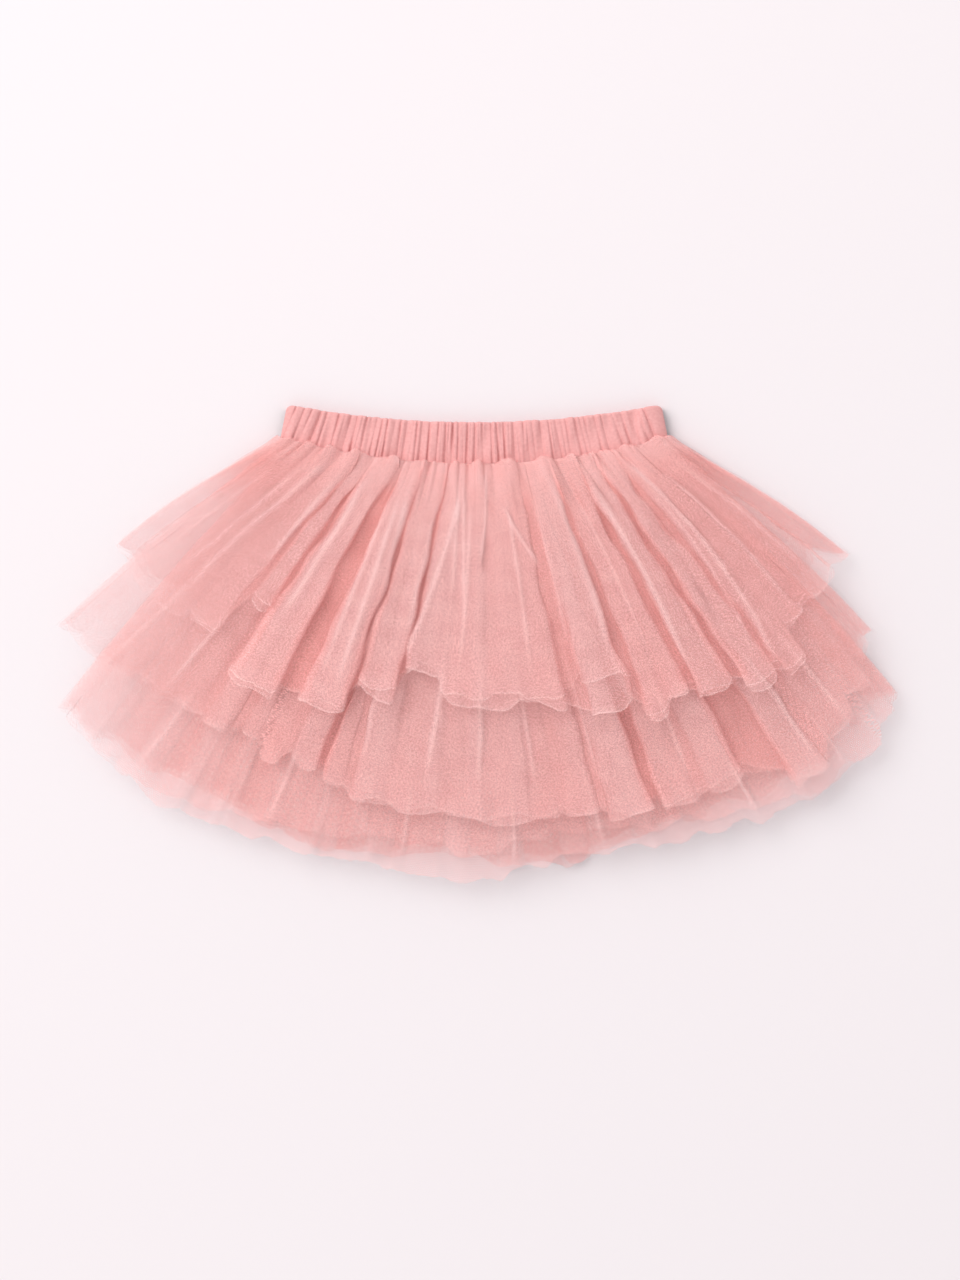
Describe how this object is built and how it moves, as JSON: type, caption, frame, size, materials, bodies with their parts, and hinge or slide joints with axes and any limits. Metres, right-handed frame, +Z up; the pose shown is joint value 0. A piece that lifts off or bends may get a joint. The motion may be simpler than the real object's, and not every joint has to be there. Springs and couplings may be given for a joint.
{
  "type": "tulle skirt",
  "caption": "Child's gathered tulle skirt laid flat: a rucked elastic waistband over three overlapping ruffled tiers that fan out below it.",
  "frame": {"origin": "middle of the outline, on the surface that the skirt lies on", "axes": "+X across the skirt towards the viewer's right, +Y from the hem to the waist, +Z up from the surface"},
  "size_m": [0.4628, 0.2622, 0.0465],
  "materials": {
    "tulle": "matte sheer net",
    "cotton_casing": "matte woven"
  },
  "bodies": {
    "root": {"waistband_front": "cotton_casing", "waistband_back": "cotton_casing", "top_tier_front": "tulle", "top_tier_back": "tulle", "middle_tier_front": "tulle", "middle_tier_back": "tulle", "bottom_tier_front": "tulle", "bottom_tier_back": "tulle"}
  },
  "joints": []
}
